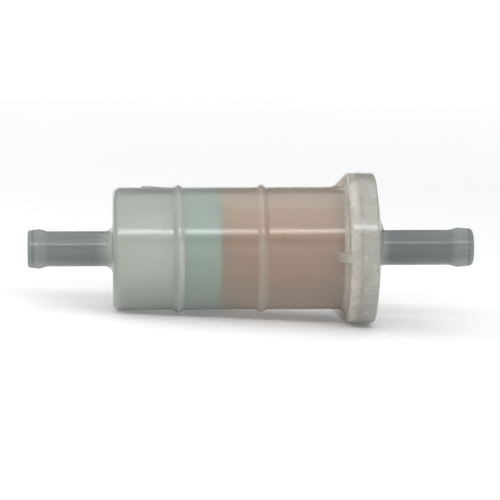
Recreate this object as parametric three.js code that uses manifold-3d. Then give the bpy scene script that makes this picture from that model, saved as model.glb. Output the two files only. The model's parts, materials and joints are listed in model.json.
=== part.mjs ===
// An in-line fuel filter for a small engine. A milky moulded housing and its welded outlet cap, each with a
// beaded hose nipple, hold a pleated paper element. Fuel enters the inlet chamber, passes round the closed
// end cup of the element, goes inwards through the pleats, and leaves by the core tube and the outlet nipple.
//
// Millimetres. X is the flow axis and points from the inlet nipple to the outlet nipple, Z is up, and the
// origin is on the axis at mid-length.

import * as THREE from "three";
import { mergeVertices } from "three/addons/utils/BufferGeometryUtils.js";
import Module from "manifold-3d";

// Driving dimensions
const LENGTH = 105;
const BODY_RADIUS = 14.5;
const FLANGE_RADIUS = 17.9;
const NIPPLE_RADIUS = 4.15;
const BORE_RADIUS = 3;
const WALL = 1.3;

// Places along the flow axis
const INLET_TIP = -LENGTH / 2;
const OUTLET_TIP = LENGTH / 2;
const END_WALL = -32.6;
const RIBS = [-17.2, 2.3];
const GUSSET_START = 19.05;
const FLANGE_START = 22.2;
const WELD = 24.9;
const CAP_RIM = 28.9;
const CAP_FACE = 29.85;
const CUP_FACE = -16.4;
const CUP_RIM = -7.3;
const PLATE_FACE = 24.2;

// Housing and cap
const BODY_BORE_RADIUS = BODY_RADIUS - WALL;
const FLANGE_BORE_RADIUS = FLANGE_RADIUS - 2.5;
const FLANGE_STEP = FLANGE_START + WALL;
const FLANGE_DRAFT = 0.15;
const WELD_THICKNESS = 0.5;
const CAP_INSIDE = 27.5;
const SOCKET_RADIUS = 5;
const BEAD_HEIGHT = 0.55;
const BEAD_ROUNDING = 1.5;
const BEAD_FOOT_ROUNDING = 1;
const TIP_STEP = 0.2;

// Element
const PLEATS = 28;
const PAPER = 0.35;
const MEDIA_RADIUS = 12.1;
const MEDIA_INNER_RADIUS = 5.1;
const CUP_RADIUS = 12.9;
const CUP_BORE_RADIUS = CUP_RADIUS - 0.7;
const CUP_FLOOR = CUP_FACE + 1.2;
const CORE_RADIUS = 4.6;
const PLATE_TROUGH_FLOOR = PLATE_FACE - 1;
const PLATE_START = PLATE_TROUGH_FLOOR - 1.1;
const NECK_RADIUS = 4.7;
const NECK_END = PLATE_FACE + 3;
const GROOVE_RADIUS = 3.65;
const GROOVE = [NECK_END - 2, NECK_END - 0.5];

// Bonded and stacked pieces keep this gap, and a bed of adhesive keeps twice as much to its rim.
const JOINT_GAP = 0.05;
const BED_RADIUS = CUP_BORE_RADIUS - 2 * JOINT_GAP;
const MEDIA_START = CUP_FLOOR + 2;
const MEDIA_END = PLATE_START - JOINT_GAP;

// Straight steps round the axis and in each rounded corner
const SHELL_STEPS = 48;
const INNER_STEPS = 36;
const CORNER_STEPS = 3;

// Added pieces are sunk this deep into the piece they join.
const ROOT_DEPTH = 0.4;

const wasm = await Module();
wasm.setup();

const colours = {
  housing: new THREE.MeshStandardMaterial({ color: 0xb4b9b0, roughness: 0.4, metalness: 0 }),
  cap: new THREE.MeshStandardMaterial({ color: 0xb9b9ae, roughness: 0.4, metalness: 0 }),
  weld: new THREE.MeshStandardMaterial({ color: 0xc9c6ba, roughness: 0.5, metalness: 0 }),
  cup: new THREE.MeshStandardMaterial({ color: 0x5f9c84, roughness: 0.5, metalness: 0 }),
  paper: new THREE.MeshStandardMaterial({ color: 0xb58c6d, roughness: 0.9, metalness: 0 }),
  adhesive: new THREE.MeshStandardMaterial({ color: 0xc9a36a, roughness: 0.6, metalness: 0 }),
  nylon: new THREE.MeshStandardMaterial({ color: 0xd8d3c4, roughness: 0.5, metalness: 0 }),
  rubber: new THREE.MeshStandardMaterial({ color: 0x1d1d1c, roughness: 0.8, metalness: 0 }),
};

// The arc that rounds the corner between two straight stretches.
function roundedCorner(before, corner, after, radius) {
  const toBefore = before.clone().sub(corner).normalize();
  const toAfter = after.clone().sub(corner).normalize();
  const halfAngle = Math.acos(toBefore.dot(toAfter)) / 2;
  const middle = toBefore.clone().add(toAfter).normalize();
  const centre = corner.clone().addScaledVector(middle, radius / Math.sin(halfAngle));
  const start = corner.clone().addScaledVector(toBefore, radius / Math.tan(halfAngle));
  const end = corner.clone().addScaledVector(toAfter, radius / Math.tan(halfAngle));
  const from = start.clone().sub(centre).angle();
  const turn = end.clone().sub(centre).angle() - from;
  const sweep = Math.atan2(Math.sin(turn), Math.cos(turn));
  const points = [];
  for (let i = 0; i <= CORNER_STEPS; i += 1) {
    const angle = from + (sweep * i) / CORNER_STEPS;
    points.push(new THREE.Vector2(Math.cos(angle), Math.sin(angle)).multiplyScalar(radius).add(centre));
  }
  return points;
}

// An outline from corners [along the axis, out from the axis, rounding radius if it is rounded].
function outline(corners) {
  const at = corners.map(([along, out]) => new THREE.Vector2(along, out));
  return corners.flatMap(([, , radius = 0], i) => {
    if (radius === 0) {
      return [at[i]];
    }
    return roundedCorner(at[i - 1], at[i], at[(i + 1) % at.length], radius);
  });
}

// A body of revolution about X. Its outline runs towards +X along the outside and back along the inside. It
// starts and ends on the axis, or is closed here.
function turned(corners, steps) {
  const points = outline(corners);
  if (points[0].y > 0) {
    points.push(points[0].clone());
  }
  const profile = points.map((point) => new THREE.Vector2(point.y, point.x));
  return new THREE.LatheGeometry(profile, steps).rotateZ(-Math.PI / 2);
}

// A plain ring or disc about X.
function turnedRing(start, end, innerRadius, outerRadius, steps) {
  const corners = [
    [start, innerRadius],
    [start, outerRadius],
    [end, outerRadius],
    [end, innerRadius],
  ];
  return turned(corners, steps);
}

// A plate of even thickness, from points [along the axis, out from it]. It stands up from the axis to +Z.
function standingPlate(points, thickness) {
  const shape = new THREE.Shape(points.map(([along, out]) => new THREE.Vector2(along, out)));
  const geometry = new THREE.ExtrudeGeometry(shape, { depth: thickness, bevelEnabled: false });
  return geometry.translate(0, 0, -thickness / 2).rotateX(Math.PI / 2);
}

function solidOf(geometry) {
  const bare = geometry.clone();
  bare.deleteAttribute("normal");
  bare.deleteAttribute("uv");
  const merged = mergeVertices(bare, 1e-4);
  const mesh = new wasm.Mesh({
    numProp: 3,
    vertProperties: merged.attributes.position.array,
    triVerts: new Uint32Array(merged.index.array),
  });
  return new wasm.Manifold(mesh);
}

function geometryOf(solid) {
  const mesh = solid.getMesh();
  const geometry = new THREE.BufferGeometry();
  geometry.setAttribute("position", new THREE.BufferAttribute(mesh.vertProperties, 3));
  geometry.setIndex(new THREE.BufferAttribute(mesh.triVerts, 1));
  geometry.computeVertexNormals();
  return geometry;
}

function joined(base, additions) {
  return geometryOf(additions.reduce((solid, extra) => solid.add(solidOf(extra)), solidOf(base)));
}

function cutBy(base, cutters) {
  return geometryOf(cutters.reduce((solid, cutter) => solid.subtract(solidOf(cutter)), solidOf(base)));
}

// Corners of a hose nipple, from the bore's mouth at its tip to the foot of its bead. Peak and foot are
// measured from the tip, and inwards is the sign of X towards the body.
function nippleCorners(tip, inwards, peak, foot, tipRounding) {
  return [
    [tip, BORE_RADIUS],
    [tip, NIPPLE_RADIUS + TIP_STEP, tipRounding],
    [tip + inwards * peak, NIPPLE_RADIUS + BEAD_HEIGHT, BEAD_ROUNDING],
    [tip + inwards * foot, NIPPLE_RADIUS, BEAD_FOOT_ROUNDING],
  ];
}

// Corners of one raised ring round the body.
function ribCorners(middle) {
  const halfWidth = 1.3;
  const height = 0.78;
  const crestRounding = 0.5;
  return [
    [middle - halfWidth, BODY_RADIUS],
    [middle, BODY_RADIUS + height, crestRounding],
    [middle + halfWidth, BODY_RADIUS],
  ];
}

// The raised arrowhead that shows the flow direction. It lies on top of the inlet chamber and points to +X.
function flowArrow() {
  const base = -25.9;
  const point = -21.2;
  const halfWidth = 1.7;
  const height = 0.38;
  const shape = new THREE.Shape();
  shape.moveTo(base, -halfWidth);
  shape.lineTo(point, 0);
  shape.lineTo(base, halfWidth);
  const geometry = new THREE.ExtrudeGeometry(shape, { depth: height + ROOT_DEPTH, bevelEnabled: false });
  return geometry.translate(0, 0, BODY_RADIUS - ROOT_DEPTH);
}

// One triangular web between the body and the flange. It slopes up to the flange at 45 degrees.
function flangeGusset(angle) {
  const thickness = 2.1;
  const root = BODY_RADIUS - ROOT_DEPTH;
  const top = BODY_RADIUS + FLANGE_START - GUSSET_START;
  const points = [
    [GUSSET_START - ROOT_DEPTH, root],
    [FLANGE_START + ROOT_DEPTH, root],
    [FLANGE_START + ROOT_DEPTH, top],
    [FLANGE_START, top],
  ];
  return standingPlate(points, thickness).rotateX(angle);
}

function housingShell() {
  const beadPeak = 2.7;
  const beadFoot = 4.5;
  const tipRounding = 0.5;
  const rootRounding = 1.9;
  const shoulderRounding = 1.6;
  const flangeRootRounding = 1.2;
  const flangeEdgeRounding = 0.5;
  const innerShoulderRounding = 0.8;
  const flangeFace = WELD - WELD_THICKNESS / 2;
  const shell = turned(
    [
      ...nippleCorners(INLET_TIP, 1, beadPeak, beadFoot, tipRounding),
      [END_WALL, NIPPLE_RADIUS, rootRounding],
      [END_WALL, BODY_RADIUS, shoulderRounding],
      ...RIBS.flatMap(ribCorners),
      [FLANGE_START, BODY_RADIUS, flangeRootRounding],
      [FLANGE_START, FLANGE_RADIUS - FLANGE_DRAFT, flangeEdgeRounding],
      [flangeFace, FLANGE_RADIUS],
      [flangeFace, FLANGE_BORE_RADIUS],
      [FLANGE_STEP, FLANGE_BORE_RADIUS],
      [FLANGE_STEP, BODY_BORE_RADIUS],
      [END_WALL + WALL, BODY_BORE_RADIUS, innerShoulderRounding],
      [END_WALL + WALL, BORE_RADIUS],
    ],
    SHELL_STEPS,
  );
  const gussets = [0, 1, 2, 3].map((quarter) => flangeGusset((quarter * Math.PI) / 2));
  return joined(shell, [flowArrow(), ...gussets]);
}

// The triangular web between the cap's face and the top of the outlet nipple.
function nippleGusset() {
  const thickness = 1.2;
  const start = CAP_FACE - ROOT_DEPTH;
  const end = CAP_FACE + 1.5;
  const root = NIPPLE_RADIUS - ROOT_DEPTH;
  const toe = NIPPLE_RADIUS + 0.3;
  const crown = [CAP_FACE + 0.35, 8];
  const points = [[start, root], [end, root], [end, toe], crown, [start, crown[1]]];
  return standingPlate(points, thickness);
}

// The cap, with a skirt that locates it in the housing's flange and a socket for the element's neck. Its face
// is flat round the nipple and falls away towards the rim.
function outletCap() {
  const beadPeak = 3.6;
  const beadFoot = 5.7;
  const tipRounding = 1;
  const rootRounding = 1.9;
  const faceRadius = 11.5;
  const rimRounding = 0.6;
  const flangeFace = WELD + WELD_THICKNESS / 2;
  const skirtEnd = FLANGE_STEP + 0.2;
  const skirtRadius = FLANGE_BORE_RADIUS - 0.3;
  const skirtBoreRadius = skirtRadius - 1.2;
  const socketMouth = CAP_INSIDE - 2.9;
  const socketOuterRadius = SOCKET_RADIUS + 1.4;
  const cap = turned(
    [
      [skirtEnd, skirtRadius],
      [flangeFace, skirtRadius],
      [flangeFace, FLANGE_RADIUS],
      [CAP_RIM, FLANGE_RADIUS - FLANGE_DRAFT, rimRounding],
      [CAP_FACE, faceRadius],
      [CAP_FACE, NIPPLE_RADIUS, rootRounding],
      ...nippleCorners(OUTLET_TIP, -1, beadPeak, beadFoot, tipRounding).reverse(),
      [CAP_INSIDE, BORE_RADIUS],
      [CAP_INSIDE, SOCKET_RADIUS],
      [socketMouth, SOCKET_RADIUS],
      [socketMouth, socketOuterRadius],
      [CAP_INSIDE, socketOuterRadius],
      [CAP_INSIDE, skirtBoreRadius],
      [skirtEnd, skirtBoreRadius],
    ],
    SHELL_STEPS,
  );
  return joined(cap, [nippleGusset()]);
}

// The fused ring between the two flange halves.
function weldBead() {
  const start = WELD - WELD_THICKNESS / 2 + JOINT_GAP;
  const end = WELD + WELD_THICKNESS / 2 - JOINT_GAP;
  const innerRadius = FLANGE_BORE_RADIUS + 0.2;
  const outerRadius = FLANGE_RADIUS - 0.1;
  return turnedRing(start, end, innerRadius, outerRadius, SHELL_STEPS);
}

// One low fin of the end cup. The fins keep a gap open round the cup for the fuel.
function cupFin(angle) {
  const length = 7.2;
  const width = 1;
  const root = CUP_RADIUS - ROOT_DEPTH;
  const top = BODY_BORE_RADIUS - 0.05;
  const fin = new THREE.BoxGeometry(length, width, top - root);
  return fin.translate((CUP_FACE + CUP_RIM) / 2, 0, (top + root) / 2).rotateX(angle);
}

// The closed cup at the inlet end of the element.
function elementEndCup() {
  const fins = 6;
  const edgeRounding = 0.8;
  const cup = turned(
    [
      [CUP_FACE, 0],
      [CUP_FACE, CUP_RADIUS, edgeRounding],
      [CUP_RIM, CUP_RADIUS],
      [CUP_RIM, CUP_BORE_RADIUS],
      [CUP_FLOOR, CUP_BORE_RADIUS],
      [CUP_FLOOR, 0],
    ],
    INNER_STEPS,
  );
  const angles = Array.from({ length: fins }, (_, i) => (2 * Math.PI * (i + 0.5)) / fins);
  return joined(cup, angles.map(cupFin));
}

// The bed of adhesive in the end cup, which seals the inlet end of the pleats.
function inletPotting() {
  return turnedRing(CUP_FLOOR + JOINT_GAP, MEDIA_START - JOINT_GAP, 0, BED_RADIUS, INNER_STEPS);
}

// A ring that zigzags between folds at two radii. Each fold is [radius, half its width].
function zigzag(peak, valley) {
  const points = [];
  for (let i = 0; i < 2 * PLEATS; i += 1) {
    const [radius, halfWidth] = i % 2 === 0 ? peak : valley;
    for (const side of [-1, 1]) {
      const angle = (Math.PI * i) / PLEATS + (side * halfWidth) / radius;
      points.push(new THREE.Vector2(radius * Math.cos(angle), radius * Math.sin(angle)));
    }
  }
  return points;
}

// One sheet of paper folded into a ring of pleats, equally thick all the way round.
function pleatedMedia() {
  const insidePeak = 0.2;
  const insideValley = 0.12;
  const outside = zigzag([MEDIA_RADIUS, insidePeak + PAPER], [MEDIA_INNER_RADIUS + PAPER, insideValley]);
  const inside = zigzag([MEDIA_RADIUS - PAPER, insidePeak], [MEDIA_INNER_RADIUS, insideValley + PAPER]);
  const shape = new THREE.Shape(outside);
  shape.holes.push(new THREE.Path(inside));
  const length = MEDIA_END - MEDIA_START;
  const geometry = new THREE.ExtrudeGeometry(shape, { depth: length, bevelEnabled: false });
  return geometry.rotateY(Math.PI / 2).translate(MEDIA_START, 0, 0);
}

// The strip of glue inside the lowest pleat, where the two ends of the paper meet.
function mediaSeam() {
  const thickness = 0.2;
  const innerRadius = 7.6;
  const outerRadius = MEDIA_RADIUS - PAPER - 2 * JOINT_GAP;
  const strip = new THREE.BoxGeometry(MEDIA_END - MEDIA_START, thickness, outerRadius - innerRadius);
  return strip.translate((MEDIA_START + MEDIA_END) / 2, 0, -(outerRadius + innerRadius) / 2);
}

// The tube that the pleats stand round, with rows of windows through its wall. Each row is turned by half
// the angle between two windows.
function coreTube() {
  const innerRadius = CORE_RADIUS - 0.8;
  const rows = 6;
  const windowsAcross = 2;
  const bar = 1.6;
  const windowWidth = 3.4;
  const pitch = (MEDIA_END - MEDIA_START) / rows;
  const tube = turnedRing(MEDIA_START, MEDIA_END, innerRadius, CORE_RADIUS, INNER_STEPS);
  const windows = [];
  for (let row = 0; row < rows; row += 1) {
    for (let across = 0; across < windowsAcross; across += 1) {
      const angle = (Math.PI * (across + (row % 2) / 2)) / windowsAcross;
      const cutter = new THREE.BoxGeometry(pitch - bar, 3 * CORE_RADIUS, windowWidth);
      windows.push(cutter.rotateX(angle).translate(MEDIA_START + (row + 0.5) * pitch, 0, 0));
    }
  }
  return cutBy(tube, windows);
}

// The bed of adhesive in the end plate's trough.
function outletPotting() {
  const end = PLATE_TROUGH_FLOOR - JOINT_GAP;
  return turnedRing(PLATE_START, end, CORE_RADIUS + 2 * JOINT_GAP, BED_RADIUS, INNER_STEPS);
}

// The open plate at the outlet end of the element, with a grooved neck that plugs into the cap's socket.
function elementEndPlate() {
  const neckBoreRadius = 2.6;
  const edgeRounding = 0.3;
  return turned(
    [
      [PLATE_START, CUP_RADIUS],
      [PLATE_FACE, CUP_RADIUS, edgeRounding],
      [PLATE_FACE, NECK_RADIUS],
      [GROOVE[0], NECK_RADIUS],
      [GROOVE[0], GROOVE_RADIUS],
      [GROOVE[1], GROOVE_RADIUS],
      [GROOVE[1], NECK_RADIUS],
      [NECK_END, NECK_RADIUS],
      [NECK_END, neckBoreRadius],
      [PLATE_START, neckBoreRadius],
      [PLATE_START, CORE_RADIUS],
      [PLATE_TROUGH_FLOOR, CORE_RADIUS],
      [PLATE_TROUGH_FLOOR, CUP_BORE_RADIUS],
      [PLATE_START, CUP_BORE_RADIUS],
    ],
    INNER_STEPS,
  );
}

// The rubber ring in the neck's groove, which seals it to the socket.
function outletSealRing() {
  const sectionSteps = 12;
  const sectionRadius = (SOCKET_RADIUS - GROOVE_RADIUS) / 2 - JOINT_GAP;
  const ringRadius = (SOCKET_RADIUS + GROOVE_RADIUS) / 2;
  const ring = new THREE.TorusGeometry(ringRadius, sectionRadius, sectionSteps, INNER_STEPS);
  return ring.rotateY(Math.PI / 2).translate((GROOVE[0] + GROOVE[1]) / 2, 0, 0);
}

const filter = new THREE.Group();

function addPiece(name, geometry, material) {
  const mesh = new THREE.Mesh(geometry, material);
  mesh.name = name;
  filter.add(mesh);
}

addPiece("housing_shell", housingShell(), colours.housing);
addPiece("outlet_cap", outletCap(), colours.cap);
addPiece("weld_bead", weldBead(), colours.weld);
addPiece("element_end_cup", elementEndCup(), colours.cup);
addPiece("inlet_potting", inletPotting(), colours.adhesive);
addPiece("pleated_media", pleatedMedia(), colours.paper);
addPiece("media_seam", mediaSeam(), colours.adhesive);
addPiece("core_tube", coreTube(), colours.nylon);
addPiece("outlet_potting", outletPotting(), colours.adhesive);
addPiece("element_end_plate", elementEndPlate(), colours.nylon);
addPiece("outlet_seal_ring", outletSealRing(), colours.rubber);

export default filter;
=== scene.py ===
"""An in-line fuel filter for a small engine, with a milky moulded housing round a pleated paper element.

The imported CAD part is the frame. Fine meshes stand for its outside pieces and for the element's visible ones,
and every piece gets a procedural material. Lengths in the outlines are millimetres, like the CAD part's own,
and become metres when a mesh is made. X is the flow axis and Z is up.
"""

import json
import math

import bpy
import numpy as np
from mathutils import Matrix, Quaternion, Vector


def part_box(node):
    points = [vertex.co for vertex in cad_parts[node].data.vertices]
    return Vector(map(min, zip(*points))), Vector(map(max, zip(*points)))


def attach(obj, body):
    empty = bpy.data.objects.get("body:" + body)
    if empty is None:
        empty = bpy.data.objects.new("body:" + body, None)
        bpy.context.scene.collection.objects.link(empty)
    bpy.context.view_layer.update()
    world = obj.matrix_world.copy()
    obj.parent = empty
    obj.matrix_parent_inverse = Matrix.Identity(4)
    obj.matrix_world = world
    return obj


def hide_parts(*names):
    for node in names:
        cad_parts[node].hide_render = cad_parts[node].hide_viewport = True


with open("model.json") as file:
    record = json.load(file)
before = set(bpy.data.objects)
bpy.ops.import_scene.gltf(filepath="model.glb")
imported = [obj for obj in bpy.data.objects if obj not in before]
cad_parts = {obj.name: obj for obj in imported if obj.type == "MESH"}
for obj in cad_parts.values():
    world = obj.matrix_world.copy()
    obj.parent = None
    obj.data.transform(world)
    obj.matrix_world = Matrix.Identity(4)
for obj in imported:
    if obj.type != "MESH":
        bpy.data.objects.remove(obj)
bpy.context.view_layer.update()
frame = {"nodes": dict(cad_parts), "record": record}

MM = 0.001
mounts = {mount["name"]: Vector(mount["pos_m"]) / MM for mount in frame["record"]["mounts"]}


def box(node):
    low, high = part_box(node)
    return low / MM, high / MM


# Places along the flow axis and sizes across it, from the frame
housing_low, housing_high = box("housing_shell")
cap_low, cap_high = box("outlet_cap")
weld_low, weld_high = box("weld_bead")
cup_low, cup_high = box("element_end_cup")
media_low, media_high = box("pleated_media")
plate_low, plate_high = box("element_end_plate")
ring_low, ring_high = box("outlet_seal_ring")

INLET_TIP = housing_low.x
OUTLET_TIP = cap_high.x
END_WALL = mounts["inlet_hose_stop"].x
CAP_FACE = mounts["outlet_hose_stop"].x
FLANGE_RADIUS = housing_high.z
WELD = (weld_low.x + weld_high.x) / 2

# The outline's own dimensions
WALL = 1.3
FIN_CLEARANCE = 0.05
BODY_BORE_RADIUS = cup_high.y + FIN_CLEARANCE
BODY_RADIUS = BODY_BORE_RADIUS + WALL
NIPPLE_RADIUS = 4.15
BORE_RADIUS = 3.0
RIBS = [END_WALL + 15.4, END_WALL + 34.9]
RIB_HALF_WIDTH = 1.3
RIB_HEIGHT = 0.78
FLANGE_START = WELD - 2.7
FLANGE_STEP = FLANGE_START + WALL
FLANGE_DRAFT = 0.15
GUSSET_START = FLANGE_START - 3.15
FLANGE_ROUNDING = 1.2
SHOULDER_ROUNDING = 2.0
CAP_RIM = CAP_FACE - 0.95
FLANGE_BORE_RADIUS = FLANGE_RADIUS - 2.5
EDGE_ROUNDING = 0.015
WELD_HALF_WIDTH = 0.2
WELD_GAP = 0.004

# Points this near an outside surface count as lying on it.
SKIN = 0.05

# Angles round the axis are in degrees from the top, through the front at -Y.
TOP = 0
GUSSETS = [0, 90, 180, 270]


# ---------------------------------------------------------------------------------------------- outlines


def rounded_corner(before, corner, after, radius, steps):
    """The arc that rounds the corner between two straight stretches."""
    to_before = (before - corner) / np.linalg.norm(before - corner)
    to_after = (after - corner) / np.linalg.norm(after - corner)
    half_angle = math.acos(float(to_before @ to_after)) / 2
    middle = (to_before + to_after) / np.linalg.norm(to_before + to_after)
    centre = corner + middle * radius / math.sin(half_angle)
    start = corner + to_before * radius / math.tan(half_angle) - centre
    end = corner + to_after * radius / math.tan(half_angle) - centre
    first = math.atan2(start[1], start[0])
    sweep = (math.atan2(end[1], end[0]) - first + math.pi) % (2 * math.pi) - math.pi
    angles = first + sweep * np.linspace(0, 1, steps + 1)
    return [centre + radius * np.array([math.cos(a), math.sin(a)]) for a in angles]


def outline(corners, steps=7):
    """Points of a closed outline from corners (along the axis, out from it, rounding radius if rounded)."""
    at = [np.array(corner[:2], float) for corner in corners]
    points = []
    for i, corner in enumerate(corners):
        if len(corner) == 3:
            points += rounded_corner(at[i - 1], at[i], at[(i + 1) % len(at)], corner[2], steps)
        else:
            points.append(at[i])
    return points


def filled(points, spacing):
    """The outline with points added so that none are further apart than spacing(along)."""
    result = []
    for i, point in enumerate(points):
        after = points[(i + 1) % len(points)]
        result.append(point)
        pieces = math.ceil(np.linalg.norm(after - point) / spacing((point[0] + after[0]) / 2) - 1e-6)
        result += [point + (after - point) * k / pieces for k in range(1, pieces)]
    return np.array(result)


def angles_round(coarse, fine=0.6, centres=(), half_width=5.0):
    """Angles for a full turn, in degrees: coarse steps, and fine ones within half_width of each centre."""
    angles = []
    angle = 0.0
    while angle < 360 - 1e-6:
        angles.append(angle)
        near = min((abs((angle - c + 180) % 360 - 180) for c in centres), default=999)
        angle += fine if near < half_width else coarse
    return np.array(angles)


def smooth_step(value):
    value = np.clip(value, 0, 1)
    return value * value * (3 - 2 * value)


def angle_from(theta, centre):
    """Signed angle in radians from the centre angle."""
    return np.radians((theta - centre + 180) % 360 - 180)


# ------------------------------------------------------------------------------------------------ meshes


def make_piece(name, points, faces, slot, replaces, look, sharp_angle=35):
    """A mesh piece from points in millimetres. It rides on the part's one body."""
    mesh = bpy.data.meshes.new(name)
    mesh.from_pydata([tuple(p) for p in np.asarray(points) * MM], [], faces)
    mesh.validate()
    piece = bpy.data.objects.new(name, mesh)
    bpy.context.scene.collection.objects.link(piece)
    mesh.shade_smooth()
    mesh.set_sharp_from_angle(angle=math.radians(sharp_angle))
    mesh.materials.append(look)
    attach(piece, "root")
    if replaces:
        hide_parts(*replaces)
    return piece


def turned(profile, angles, relief=None):
    """Points and faces of a closed outline turned about X. relief(along, out, theta) moves its points.

    An outline point on the axis becomes one point of the mesh.
    """
    along = np.repeat(profile[:, :1], len(angles), axis=1)
    out = np.repeat(profile[:, 1:], len(angles), axis=1)
    theta = np.repeat(angles[None, :], len(profile), axis=0)
    if relief:
        along, out = relief(along, out, theta)
    turn = np.radians(theta)
    rings = np.stack([along, -out * np.sin(turn), out * np.cos(turn)], axis=-1)
    points, index = [], []
    for ring, reach in zip(rings, out):
        on_axis = reach.max() == 0
        index.append([len(points) + (0 if on_axis else j) for j in range(len(ring))])
        points.extend(ring[:1] if on_axis else ring)
    faces = []
    for this, after in zip(index, index[1:] + index[:1]):
        for j in range(len(this)):
            corners = (this[j - 1], this[j], after[j], after[j - 1])
            face = tuple(dict.fromkeys(corners))
            if len(face) > 2:
                faces.append(face)
    return points, faces


def nipple_corners(tip, inwards, peak, foot, tip_rounding):
    """Corners of a hose nipple, from the bore's mouth at its tip to the foot of its bead."""
    mouth_chamfer = 0.25
    return [
        (tip + inwards * mouth_chamfer, BORE_RADIUS),
        (tip, BORE_RADIUS + mouth_chamfer),
        (tip, NIPPLE_RADIUS + 0.2, tip_rounding),
        (tip + inwards * peak, NIPPLE_RADIUS + 0.55, 1.5),
        (tip + inwards * foot, NIPPLE_RADIUS, 1.0),
    ]


def rib_corners(middle):
    return [
        (middle - RIB_HALF_WIDTH, BODY_RADIUS, 0.5),
        (middle, BODY_RADIUS + RIB_HEIGHT, 0.45),
        (middle + RIB_HALF_WIDTH, BODY_RADIUS, 0.5),
    ]


def arrow_height(along, across):
    """Height of the raised arrowhead on top of the inlet chamber. It is lower towards its point."""
    base, tip = END_WALL + 6.7, END_WALL + 11.4
    half_width, edge_blur = 1.7, 0.35
    base_height, tip_height = 0.4, 0.12
    height = np.interp(along, [base, tip], [base_height, tip_height])
    slope = half_width / (tip - base)
    past_side = (np.abs(across) - slope * (tip - along)) / math.hypot(1, slope)
    outside = np.maximum(base - along, past_side)
    return height * smooth_step(0.5 - outside / edge_blur)


def onto_web(along, out):
    """Moves points of the body and flange out to a web: a 45 degree slope, then a rounded shoulder."""
    flange_top = FLANGE_RADIUS - FLANGE_DRAFT / 2
    centre_out = flange_top - SHOULDER_ROUNDING
    centre_along = GUSSET_START + centre_out - BODY_RADIUS + SHOULDER_ROUNDING * math.sqrt(2)
    turn = np.arctan2(out - centre_out, along - centre_along)
    on_shoulder = (turn > math.pi / 2) & (turn < 3 * math.pi / 4)
    on_slope = (along < centre_along) & ~on_shoulder

    slope = (along - GUSSET_START + out - BODY_RADIUS) / 2
    slope_along = np.where(on_slope, GUSSET_START + slope, along)
    slope_out = np.where(on_slope, BODY_RADIUS + slope, out)
    web_along = np.where(on_shoulder, centre_along + SHOULDER_ROUNDING * np.cos(turn), slope_along)
    web_out = np.where(on_shoulder, centre_out + SHOULDER_ROUNDING * np.sin(turn), slope_out)
    under = (web_out > out) & (out > BODY_RADIUS - SKIN)
    return np.where(under, web_along, along), np.where(under, web_out, out)


def housing_relief(along, out, theta):
    """Adds the flow arrow on top and the four webs that slope up to the flange."""
    near_angle = 0.3
    across_top = out * np.sin(angle_from(theta, TOP))
    on_top = (np.abs(angle_from(theta, TOP)) < near_angle) & (out > BODY_RADIUS - SKIN)
    lift = np.where(on_top, arrow_height(along, across_top), 0)

    half_thickness, edge_blur = 1.05, 0.2
    web_along, web_out = onto_web(along, out)
    web = np.zeros_like(out)
    for gusset in GUSSETS:
        across = np.abs(out * np.sin(angle_from(theta, gusset)))
        near = np.abs(angle_from(theta, gusset)) < near_angle
        web = np.where(near, smooth_step((half_thickness - across) / edge_blur + 0.5), web)
    return along + web * (web_along - along), out + lift + web * (web_out - out)


def housing_mesh():
    flange_face = WELD - WELD_HALF_WIDTH - WELD_GAP
    corners = [
        *nipple_corners(INLET_TIP, 1, 2.7, 4.5, 0.5),
        (END_WALL, NIPPLE_RADIUS, 1.9),
        (END_WALL, BODY_RADIUS, 1.6),
        *rib_corners(RIBS[0]),
        *rib_corners(RIBS[1]),
        (FLANGE_START, BODY_RADIUS, 1.6),
        (FLANGE_START, FLANGE_RADIUS - FLANGE_DRAFT, FLANGE_ROUNDING),
        (flange_face, FLANGE_RADIUS, EDGE_ROUNDING),
        (flange_face, FLANGE_BORE_RADIUS),
        (FLANGE_STEP, FLANGE_BORE_RADIUS),
        (FLANGE_STEP, BODY_BORE_RADIUS, 0.1),
        (END_WALL + WALL, BODY_BORE_RADIUS, 0.8),
        (END_WALL + WALL, BORE_RADIUS, 0.3),
    ]

    def spacing(along):
        on_arrow = END_WALL + 6.2 < along < END_WALL + 12
        on_gusset = GUSSET_START - 0.2 < along < FLANGE_START + 1.2
        return 0.15 if on_arrow or on_gusset else 1.2

    profile = filled(outline(corners), spacing)
    angles = angles_round(2.5, 0.5, GUSSETS, 8)
    return turned(profile, angles, housing_relief)


def cap_relief(along, out, theta):
    """Adds the triangular gusset between the cap's face and the top of the outlet nipple."""
    toe, crown = NIPPLE_RADIUS + 0.3, 8.0
    toe_reach, crown_reach = 1.5, 0.35
    half_thickness, edge_blur = 0.6, 0.16
    near_angle = 0.6
    across = out * np.sin(angle_from(theta, TOP))
    near_top = np.abs(angle_from(theta, TOP)) < near_angle
    side = smooth_step((half_thickness - np.abs(across)) / edge_blur + 0.5)
    up = smooth_step((crown - out) / edge_blur + 0.5)
    reach = CAP_FACE + np.interp(out, [toe, crown], [toe_reach, crown_reach])
    outside = (along > CAP_FACE - SKIN) & (out > NIPPLE_RADIUS + 0.02)
    missing = np.maximum(reach - along, 0)
    return along + np.where(outside & near_top, side * up * missing, 0), out


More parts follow.
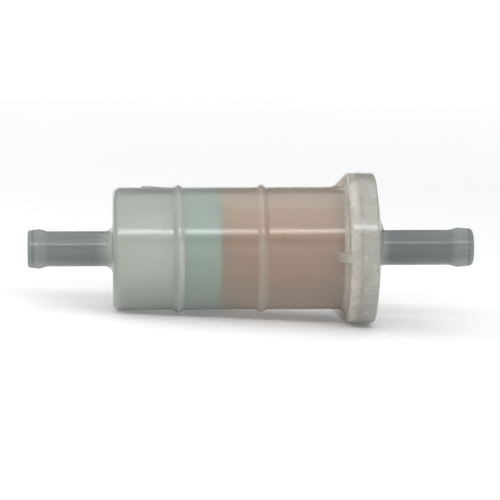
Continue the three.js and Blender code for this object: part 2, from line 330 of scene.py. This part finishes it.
def cap_mesh():
    flange_face = WELD + WELD_HALF_WIDTH + WELD_GAP
    skirt_end = FLANGE_STEP + 0.2
    skirt_radius = FLANGE_BORE_RADIUS - 0.3
    skirt_bore = skirt_radius - 1.2
    inside = CAP_RIM - 1.4
    socket_radius = 5.0
    socket_outer = 6.4
    socket_mouth = inside - 2.9
    nipple = nipple_corners(OUTLET_TIP, -1, 3.6, 5.7, 1.0)
    corners = [
        (skirt_end, skirt_radius, 0.2),
        (flange_face, skirt_radius),
        (flange_face, FLANGE_RADIUS, EDGE_ROUNDING),
        (CAP_RIM, FLANGE_RADIUS - FLANGE_DRAFT, 0.6),
        (CAP_FACE, 11.5, 3.0),
        (CAP_FACE, NIPPLE_RADIUS, 1.9),
        *reversed(nipple),
        (inside, BORE_RADIUS),
        (inside, socket_radius),
        (socket_mouth, socket_radius, 0.2),
        (socket_mouth, socket_outer, 0.2),
        (inside, socket_outer, 0.3),
        (inside, skirt_bore, 0.3),
        (skirt_end, skirt_bore, 0.2),
    ]

    def spacing(along):
        return 0.2 if CAP_FACE - SKIN < along < CAP_FACE + 2 else 1.2

    profile = filled(outline(corners), spacing)
    return turned(profile, angles_round(2.5, 0.7, (TOP,), 10), cap_relief)


def weld_mesh():
    """The fused ring, with the uneven flash that a spin weld squeezes out."""
    start, end = WELD - WELD_HALF_WIDTH, WELD + WELD_HALF_WIDTH
    corners = [
        (start, FLANGE_BORE_RADIUS + 0.2),
        (start, FLANGE_RADIUS, EDGE_ROUNDING),
        (end, FLANGE_RADIUS, EDGE_ROUNDING),
        (end, FLANGE_BORE_RADIUS + 0.2),
    ]

    # Waves that make up the flash: height, number round the ring, phase
    waves = [(0.01, 7, 0.6), (0.006, 19, 2.1), (0.004, 43, 0.0)]

    def flash(along, out, theta):
        turn = np.radians(theta)
        bulge = sum(height * np.sin(number * turn + phase) for height, number, phase in waves)
        return along, np.where(out > FLANGE_RADIUS - 0.5, out + bulge, out)

    return turned(filled(outline(corners), lambda along: 0.5), angles_round(1.5), flash)


def cup_mesh():
    """The element's closed end cup, with six fins that centre it in the housing."""
    fins = [30 + 60 * i for i in range(6)]
    radius, floor = plate_high.z, cup_low.x + 1.2
    bore = radius - 0.7
    corners = [
        (cup_low.x, 0),
        (cup_low.x, radius, 0.8),
        (cup_high.x, radius, 0.15),
        (cup_high.x, bore, 0.15),
        (floor, bore, 0.3),
        (floor, 0),
    ]

    def relief(along, out, theta):
        middle = (cup_low.x + cup_high.x) / 2
        half_width, edge_blur, length = 0.5, 0.14, 7.2
        lift = np.zeros_like(out)
        for fin in fins:
            across = np.abs(out * angle_from(theta, fin))
            side = smooth_step((half_width - across) / edge_blur + 0.5)
            ends = smooth_step((length / 2 - np.abs(along - middle)) / edge_blur + 0.5)
            lift = np.maximum(lift, side * ends * (cup_high.y - radius))
        return along, np.where(out > radius - SKIN, out + lift, out)

    return turned(filled(outline(corners), lambda along: 0.7), angles_round(2.5, 0.5, fins, 3), relief)


def media_mesh():
    """One sheet of paper folded into a ring of pleats, with slightly uneven folds."""
    pleats, paper = 28, 0.35
    inner_radius = 5.1
    outer_fold, inner_fold = 0.32, 0.22
    outer, inner = media_high.y - paper / 2, inner_radius + paper / 2
    rng = np.random.default_rng(7)
    corners = []
    for i in range(2 * pleats):
        radius = (outer if i % 2 == 0 else inner) + rng.uniform(-0.12, 0.0)
        angle = math.pi * (i + rng.uniform(-0.08, 0.08)) / pleats
        fold = outer_fold if i % 2 == 0 else inner_fold
        corners.append((radius * math.cos(angle), radius * math.sin(angle), fold))
    line = filled(outline(corners, 5), lambda along: 2.5)
    ahead, behind = np.roll(line, -1, axis=0), np.roll(line, 1, axis=0)
    tangent = (ahead - behind) / np.linalg.norm(ahead - behind, axis=1, keepdims=True)
    normal = np.stack([tangent[:, 1], -tangent[:, 0]], axis=1)
    loops = [line + normal * paper / 2, line - normal * paper / 2]
    stations = np.linspace(media_low.x, media_high.x, 9)
    points = []
    for k, station in enumerate(stations):
        swell = 1 + 0.006 * math.sin(1.7 * k)
        for loop in loops:
            points += [(station, y * swell, z * swell) for y, z in loop]
    count = len(line)
    faces = []
    for k in range(len(stations) - 1):
        base, after = 2 * k * count, 2 * (k + 1) * count
        for j in range(count):
            n = (j + 1) % count
            faces.append((base + j, base + n, after + n, after + j))
            faces.append((base + count + n, base + count + j, after + count + j, after + count + n))
    last = 2 * (len(stations) - 1) * count
    for j in range(count):
        n = (j + 1) % count
        faces.append((n, j, count + j, count + n))
        faces.append((last + j, last + n, last + count + n, last + count + j))
    return points, faces


def plate_mesh():
    """The open end plate, with the grooved neck that plugs into the cap."""
    face, neck_end = plate_high.x - 3, plate_high.x
    radius, neck, groove = plate_high.z, 4.7, 3.65
    groove_start, groove_end = neck_end - 2, neck_end - 0.5
    neck_bore, core = 2.6, 4.6
    trough, bore = face - 1, plate_high.z - 0.7
    corners = [
        (plate_low.x, radius, 0.15),
        (face, radius, 0.3),
        (face, neck, 0.3),
        (groove_start, neck, 0.1),
        (groove_start, groove),
        (groove_end, groove),
        (groove_end, neck, 0.1),
        (neck_end, neck, 0.15),
        (neck_end, neck_bore, 0.1),
        (plate_low.x, neck_bore),
        (plate_low.x, core),
        (trough, core),
        (trough, bore),
        (plate_low.x, bore),
    ]
    return turned(filled(outline(corners, 4), lambda along: 0.8), angles_round(3.0))


def seal_mesh():
    """The rubber ring in the neck's groove."""
    middle = (ring_low.x + ring_high.x) / 2
    section = (ring_high.x - ring_low.x) / 2
    turn = np.linspace(0, 2 * math.pi, 20, endpoint=False)
    out = ring_high.y - section
    profile = np.stack([middle - section * np.cos(turn), out + section * np.sin(turn)], axis=1)
    return turned(profile, angles_round(5.0))


# --------------------------------------------------------------------------------------------- materials


class Look:
    """A material with one Principled shader, and short names for the nodes that feed it."""

    def __init__(self, name, **plain):
        self.material = bpy.data.materials.new(name)
        self.material.use_nodes = True
        self.tree = self.material.node_tree
        self.shader = self.tree.nodes["Principled BSDF"]
        self.place = self.tree.nodes.new("ShaderNodeTexCoord").outputs["Object"]
        for socket, value in plain.items():
            self.shader.inputs[socket.replace("_", " ")].default_value = value

    def node(self, kind, inputs, **settings):
        made = self.tree.nodes.new(kind)
        for name, value in settings.items():
            setattr(made, name, value)
        for name, value in inputs.items():
            if isinstance(value, bpy.types.NodeSocket):
                self.tree.links.new(value, made.inputs[name])
            else:
                made.inputs[name].default_value = value
        return made

    def noise(self, size, detail=3, roughness=0.55, stretch=(1, 1, 1)):
        """Noise with features of about size millimetres, stretched along the axes."""
        scale = tuple(1 / s for s in stretch)
        mapped = self.node("ShaderNodeMapping", {"Vector": self.place, "Scale": scale}).outputs["Vector"]
        inputs = {"Vector": mapped, "Scale": 1 / (size * MM), "Detail": detail, "Roughness": roughness}
        return self.node("ShaderNodeTexNoise", inputs).outputs["Fac"]

    def blend(self, factor, first, second):
        made = self.node("ShaderNodeMix", {}, data_type="RGBA")
        for index, value in ((0, factor), (6, first), (7, second)):
            if isinstance(value, bpy.types.NodeSocket):
                self.tree.links.new(value, made.inputs[index])
            elif index == 0:
                made.inputs[index].default_value = value
            else:
                made.inputs[index].default_value = (*value, 1)
        return made.outputs[2]

    def ranged(self, value, low, high, to_low=0.0, to_high=1.0):
        """value from low..high to to_low..to_high, smoothly and clamped."""
        inputs = {"Value": value, "From Min": low, "From Max": high, "To Min": to_low, "To Max": to_high}
        return self.node("ShaderNodeMapRange", inputs, interpolation_type="SMOOTHSTEP").outputs["Result"]

    def maths(self, operation, first, second=0.0):
        made = self.node("ShaderNodeMath", {0: first, 1: second}, operation=operation)
        return made.outputs[0]

    def bump(self, height, depth, before=None):
        """A bump of depth millimetres for a height of 0 to 1."""
        inputs = {"Height": height, "Distance": depth * MM, "Strength": 1.0}
        if before is not None:
            inputs["Normal"] = before
        return self.node("ShaderNodeBump", inputs).outputs["Normal"]

    def along(self):
        return self.node("ShaderNodeSeparateXYZ", {"Vector": self.place}).outputs["X"]

    def reach(self, axes):
        """Distance from the middle, measured along the axes that are marked 1."""
        marked = self.node("ShaderNodeVectorMath", {0: self.place, 1: axes}, operation="MULTIPLY")
        length = self.node("ShaderNodeVectorMath", {0: marked.outputs["Vector"]}, operation="LENGTH")
        return length.outputs["Value"]

    def band(self, value, start, end, blur):
        """1 between two places in millimetres and 0 outside them, over a blurred edge."""
        rise = self.ranged(value, (start - blur / 2) * MM, (start + blur / 2) * MM)
        fall = self.ranged(value, (end - blur / 2) * MM, (end + blur / 2) * MM, 1.0, 0.0)
        return self.maths("MULTIPLY", rise, fall)

    def share(self, value, part):
        return self.maths("MULTIPLY", value, part)

    def set(self, socket, output):
        self.tree.links.new(output, self.shader.inputs[socket])


def near_tips(look, along, start, inlet_end, outlet_end, blur):
    """Bands at both nipples, from start to an end that are measured inwards from the tips."""
    inlet = look.band(along, INLET_TIP + start, INLET_TIP + inlet_end, blur)
    outlet = look.band(along, OUTLET_TIP - outlet_end, OUTLET_TIP - start, blur)
    return look.maths("ADD", inlet, outlet)


def body_colour(look, along, ribs):
    """The wall is grey and milky over the chamber; over the cup and the paper it is painted greenish and tan.
    """
    # Painted show-through light: the greenish and tan tints stand in for light the wall scatters from the cup
    # and paper.
    painted_cup_show_through = look.band(along, cup_low.x + 0.4, cup_high.x, 3.0)
    painted_paper_show_through = look.band(along, cup_high.x, media_high.x + 0.6, 2.4)
    mottle = look.noise(9, 2)
    milky = look.blend(mottle, (0.585, 0.61, 0.57), (0.645, 0.665, 0.625))
    tan = look.blend(mottle, (0.675, 0.555, 0.445), (0.745, 0.62, 0.50))
    colour = look.blend(look.share(painted_cup_show_through, 0.7), milky, (0.66, 0.72, 0.68))
    colour = look.blend(look.share(painted_paper_show_through, 0.75), colour, tan)
    return look.blend(look.share(ribs, 0.15), colour, (0.80, 0.80, 0.76))


def flange_colour(look):
    """The thick flange is mottled where the spin weld has stirred it. Its shoulder gets painted light, to lift
    its shade.
    """
    near_body = look.ranged(look.along(), (FLANGE_START + 0.5) * MM, (WELD + 2) * MM, 1.0, 0.25)
    warmth = look.maths("MULTIPLY", look.ranged(look.noise(7, 2), 0.35, 0.55), near_body)
    dark = look.blend(warmth, (0.31, 0.325, 0.295), (0.355, 0.315, 0.265))
    patches = look.blend(look.noise(3, 4), dark, (0.52, 0.505, 0.46))
    flecks = look.ranged(look.noise(1.1, 4, 0.7), 0.54, 0.66)
    flecked = look.blend(look.share(flecks, 0.55), patches, (0.68, 0.67, 0.62))
    # Painted light: a pale, uneven band over the flange's first two millimetres lifts the shade of its fillet.
    shoulder = look.band(look.along(), FLANGE_START - 0.3, FLANGE_START + 2.0, 1.8)
    uneven = look.ranged(look.noise(3.5, 3), 0.38, 0.62, 0.15, 0.75)
    return look.blend(look.maths("MULTIPLY", shoulder, uneven), flecked, (0.72, 0.67, 0.58))


def nipple_colour(look, along, inlet, outlet, body):
    """The nipples are greyer than the body. Their beads are paler, with a painted shade ring behind each tip.
    """
    beads = near_tips(look, along, -2, 4.2, 4.8, 1.4)
    # Painted shade: the dark ring near each tip stands in for the bore's mouth showing darkly through the wall.
    rings = near_tips(look, along, 0.9, 1.5, 1.5, 0.5)
    inlet_colour = look.blend(look.noise(5, 2), (0.33, 0.355, 0.36), (0.38, 0.405, 0.41))
    outlet_colour = look.blend(look.noise(5, 2), (0.29, 0.315, 0.315), (0.34, 0.365, 0.365))
    colour = look.blend(inlet, body, inlet_colour)
    colour = look.blend(outlet, colour, outlet_colour)
    colour = look.blend(look.share(beads, 0.45), colour, (0.50, 0.53, 0.52))
    return look.blend(look.share(rings, 0.6), colour, (0.16, 0.18, 0.18))


def milky_nylon():
    """Natural nylon. It scatters light, so it takes up the colour of what lies behind it, and that colour is
    painted in.
    """
    look = Look("milky_nylon", IOR=1.4, Coat_Roughness=0.16)
    along = look.along()
    inlet = look.ranged(along, (END_WALL - 0.6) * MM, (END_WALL - 4.5) * MM)
    outlet = look.ranged(along, (CAP_FACE + 0.3) * MM, (CAP_FACE + 3.5) * MM)
    nipples = look.maths("MAXIMUM", inlet, outlet)
    ribs = look.maths("ADD", *[look.band(along, rib - 1.0, rib + 1.0, 0.9) for rib in RIBS])
    # The flange's paler colour starts before the flange, so the fillet at its foot is painted lighter too:
    # painted light.
    flange = look.band(along, FLANGE_START - 0.9, CAP_FACE + 0.8, 1.2)
    above_body = look.ranged(look.reach((0, 1, 1)), (BODY_RADIUS + 0.15) * MM, (BODY_RADIUS + 1.1) * MM)
    webs = look.maths("MULTIPLY", above_body, look.band(along, GUSSET_START, FLANGE_STEP, 0.1))
    thick = look.maths("MAXIMUM", flange, look.share(webs, 0.45))

    colour = look.blend(thick, body_colour(look, along, ribs), flange_colour(look))
    look.set("Base Color", nipple_colour(look, along, inlet, outlet, colour))

    # The nipples have less gloss, and thick plastic lets less light through.
    look.set("Coat Weight", look.maths("SUBTRACT", 0.8, look.share(nipples, 0.4)))
    opaque = look.maths("ADD", look.share(thick, 0.42), look.share(ribs, 0.06))
    look.set("Transmission Weight", look.maths("SUBTRACT", 0.88, opaque))
    look.set("Roughness", look.ranged(look.noise(2.5, 3), 0.3, 0.7, 0.4, 0.5))

    # Flow lines along the moulding, the stirred weld zone, and a fine grain
    flow = look.bump(look.noise(1.6, 3, stretch=(4, 1, 1)), 0.02)
    stirred = look.bump(look.maths("MULTIPLY", look.noise(2.2, 3), flange), 0.12, flow)
    look.set("Normal", look.bump(look.noise(0.5, 2), 0.006, stirred))
    return look.material


def weld_nylon():
    look = Look("weld_nylon", Transmission_Weight=0.5, IOR=1.4, Coat_Weight=0.8, Coat_Roughness=0.16)
    look.set("Base Color", flange_colour(look))
    look.set("Roughness", look.ranged(look.noise(0.8), 0.3, 0.7, 0.4, 0.6))
    look.set("Normal", look.bump(look.noise(0.6, 4), 0.02))
    return look.material


def green_plastic():
    look = Look("green_plastic", IOR=1.5)
    look.set("Base Color", look.blend(look.noise(4, 3), (0.25, 0.41, 0.32), (0.31, 0.48, 0.38)))
    look.set("Roughness", look.ranged(look.noise(1.5), 0.3, 0.7, 0.4, 0.55))
    look.set("Normal", look.bump(look.noise(0.4, 3), 0.01))
    return look.material


def filter_paper():
    look = Look("filter_paper", IOR=1.45)
    grain = look.noise(0.35, 5, 0.65)
    mottle = look.noise(5, 3)
    light = look.blend(mottle, (0.58, 0.30, 0.13), (0.68, 0.37, 0.17))
    look.set("Base Color", look.blend(look.ranged(grain, 0.35, 0.7), light, (0.48, 0.25, 0.11)))
    look.set("Roughness", look.ranged(mottle, 0.3, 0.7, 0.8, 0.95))
    look.set("Normal", look.bump(grain, 0.05))
    return look.material


def adhesive():
    look = Look("adhesive", IOR=1.5)
    look.set("Base Color", look.blend(look.noise(2, 4), (0.52, 0.34, 0.16), (0.62, 0.45, 0.25)))
    look.set("Roughness", look.ranged(look.noise(1), 0.3, 0.7, 0.3, 0.6))
    look.set("Normal", look.bump(look.noise(1.2, 3), 0.08))
    return look.material


def white_nylon():
    look = Look("white_nylon", IOR=1.5)
    look.set("Base Color", look.blend(look.noise(3, 3), (0.66, 0.62, 0.52), (0.76, 0.73, 0.64)))
    look.set("Roughness", look.ranged(look.noise(1.5), 0.3, 0.7, 0.4, 0.6))
    look.set("Normal", look.bump(look.noise(0.5, 3), 0.012))
    return look.material


def seal_rubber():
    look = Look("seal_rubber", IOR=1.5)
    look.set("Base Color", look.blend(look.noise(1, 4), (0.015, 0.015, 0.016), (0.035, 0.034, 0.034)))
    look.set("Roughness", look.ranged(look.noise(0.6), 0.3, 0.7, 0.55, 0.75))
    look.set("Normal", look.bump(look.noise(0.2, 3), 0.01))
    return look.material


# How strongly the stage glows under the filter, further out and at the foot of its wall, and how grey it is
# at the top. The glow fades between the first two heights and the grey comes between the last two, in metres.
FLOOR_GLOW = 0.08
FAR_FLOOR_GLOW = 0.25
WALL_GLOW = 0.8
WALL_GREY = 0.12
GLOW_FADES = (0.14, 0.48)
GREY_COMES = (0.34, 0.48)


def stage_paint():
    """White paper that curves up into a wall. It glows softly low down and is grey higher up."""
    look = Look("stage_paint", Emission_Color=(1, 1, 1, 1))
    height = look.node("ShaderNodeSeparateXYZ", {"Vector": look.place}).outputs["Z"]
    paper = look.blend(look.noise(220, 2), (0.78, 0.78, 0.78), (0.80, 0.80, 0.80))
    grey = look.ranged(height, *GREY_COMES)
    look.set("Base Color", look.blend(grey, paper, (WALL_GREY, WALL_GREY, WALL_GREY)))
    look.set("Roughness", look.ranged(look.noise(30, 3), 0.3, 0.7, 0.55, 0.65))
    floor_glow = look.ranged(look.reach((1, 1, 0)), 0.2, 0.7, FLOOR_GLOW, FAR_FLOOR_GLOW)
    glow = look.ranged(height, 0.0, 0.03, floor_glow, WALL_GLOW)
    fade = look.ranged(height, *GLOW_FADES, 1.0, 0.0)
    look.set("Emission Strength", look.maths("MULTIPLY", glow, fade))
    return look.material


# ------------------------------------------------------------------------------------------------ pieces

milky = milky_nylon()
weld_look = weld_nylon()
green = green_plastic()
paper_look = filter_paper()
glue = adhesive()
white = white_nylon()
rubber = seal_rubber()

make_piece("housing", *housing_mesh(), "milky_nylon", ["housing_shell"], milky)
make_piece("cap", *cap_mesh(), "milky_nylon", ["outlet_cap"], milky)
make_piece("weld", *weld_mesh(), "weld_nylon", ["weld_bead"], weld_look)
make_piece("end_cup", *cup_mesh(), "green_plastic", ["element_end_cup"], green)
make_piece("media", *media_mesh(), "filter_paper", ["pleated_media"], paper_look, 60)
make_piece("end_plate", *plate_mesh(), "white_nylon", ["element_end_plate"], white)
make_piece("seal_ring", *seal_mesh(), "seal_rubber", ["outlet_seal_ring"], rubber)

for node, look in (
    ("inlet_potting", glue),
    ("media_seam", glue),
    ("core_tube", white),
    ("outlet_potting", glue),
):
    carried = frame["nodes"][node]
    carried.data.materials.clear()
    carried.data.materials.append(look)


# ----------------------------------------------------------------------------------------- stage and light

# The filter lies on the edge of its flange and on its inlet end, so the floor slopes to meet both.
REST_LEFT = Vector((END_WALL + 1.6, 0, -BODY_RADIUS)) * MM
REST_RIGHT = Vector((FLANGE_START + 0.4, 0, -FLANGE_RADIUS)) * MM
FLOOR_SLOPE = math.atan2(REST_LEFT.z - REST_RIGHT.z, REST_RIGHT.x - REST_LEFT.x)


def stage_bowl():
    """A round floor that curves up into a wall on all sides."""
    floor_radius, bend, wall_top = 0.75, 0.55, 1.9
    floor_steps, bend_steps, columns = 4, 12, 96
    profile = [(floor_radius * k / floor_steps, 0.0) for k in range(floor_steps + 1)]
    for k in range(1, bend_steps + 1):
        a = math.pi / 2 * k / bend_steps
        profile.append((floor_radius + bend * math.sin(a), bend * (1 - math.cos(a))))
    profile.append((floor_radius + bend, wall_top))
    points, faces = [], []
    for out, up in profile:
        for j in range(columns):
            a = 2 * math.pi * j / columns
            points.append((out * math.cos(a), out * math.sin(a), up))
    for i in range(len(profile) - 1):
        for j in range(columns):
            n = (j + 1) % columns
            faces.append((i * columns + j, i * columns + n, (i + 1) * columns + n, (i + 1) * columns + j))
    mesh = bpy.data.meshes.new("stage_bowl")
    mesh.from_pydata(points, [], faces)
    mesh.validate()
    mesh.shade_smooth()
    bowl = bpy.data.objects.new("stage_bowl", mesh)
    bpy.context.scene.collection.objects.link(bowl)
    bowl.matrix_world = Matrix.Translation(REST_RIGHT) @ Matrix.Rotation(FLOOR_SLOPE, 4, "Y")
    mesh.materials.append(stage_paint())


def area_light(name, place, target, width, height, power):
    data = bpy.data.lights.new(name, "AREA")
    data.shape = "RECTANGLE"
    data.size = width
    data.size_y = height
    data.energy = power
    light = bpy.data.objects.new(name, data)
    bpy.context.scene.collection.objects.link(light)
    light.location = place
    direction = Vector(target) - Vector(place)
    light.rotation_euler = direction.to_track_quat("-Z", "Y").to_euler()
    light.visible_camera = False
    return light


stage_bowl()

# A long, narrow light that draws the bright line along the body
STRIP_ELEVATION = math.radians(40)
STRIP_DISTANCE = 0.6
STRIP_ALONG = 0.03
strip_place = (
    STRIP_ALONG,
    -STRIP_DISTANCE * math.cos(STRIP_ELEVATION),
    STRIP_DISTANCE * math.sin(STRIP_ELEVATION),
)
area_light("strip", strip_place, (STRIP_ALONG, 0, 0), 1.1, 0.055, 2.2)

# Soft panels round the filter: name, degrees round from the front, degrees up, width, height, power
PANEL_DISTANCE = 1.2
PANELS = [
    ("panel_front", 0, 56, 1.9, 0.95, 7.7),
    ("panel_top", 0, 106, 1.9, 1.2, 6.9),
    ("panel_left", 90, 30, 1.0, 0.8, 3.5),
]
for name, round_degrees, up_degrees, width, height, power in PANELS:
    around, up = math.radians(round_degrees), math.radians(up_degrees)
    out = PANEL_DISTANCE * math.cos(up)
    place = (-out * math.sin(around), -out * math.cos(around), PANEL_DISTANCE * math.sin(up))
    area_light(name, place, (0, 0, 0), width, height, power)

world = bpy.data.worlds.new("world")
bpy.context.scene.world = world
world.use_nodes = True
background = world.node_tree.nodes["Background"]
background.inputs["Color"].default_value = (0.93, 0.96, 1.0, 1)
background.inputs["Strength"].default_value = 0.55

# ------------------------------------------------------------------------------------------------ camera

# The view's width is the one at the aim, in metres.
AZIMUTH = math.radians(-2.8)
ELEVATION = math.radians(9)
ROLL = math.radians(0.2)
VIEW_WIDTH = 0.118
lens = bpy.data.cameras.new("camera")
lens.lens = 200
lens.sensor_width = 36
distance = VIEW_WIDTH * lens.lens / lens.sensor_width
camera = bpy.data.objects.new("camera", lens)
bpy.context.scene.collection.objects.link(camera)
back = Vector(
    (
        math.sin(AZIMUTH) * math.cos(ELEVATION),
        -math.cos(AZIMUTH) * math.cos(ELEVATION),
        math.sin(ELEVATION),
    )
)
aim = Vector((-0.00024, 0, -0.00047))
camera.location = aim + back * distance
camera.rotation_euler = ((-back).to_track_quat("-Z", "Y") @ Quaternion((0, 0, 1), ROLL)).to_euler()
lens.clip_start = 0.01
lens.clip_end = 10
bpy.context.scene.camera = camera
bpy.context.scene.view_settings.view_transform = "Standard"

bpy.context.view_layer.update()
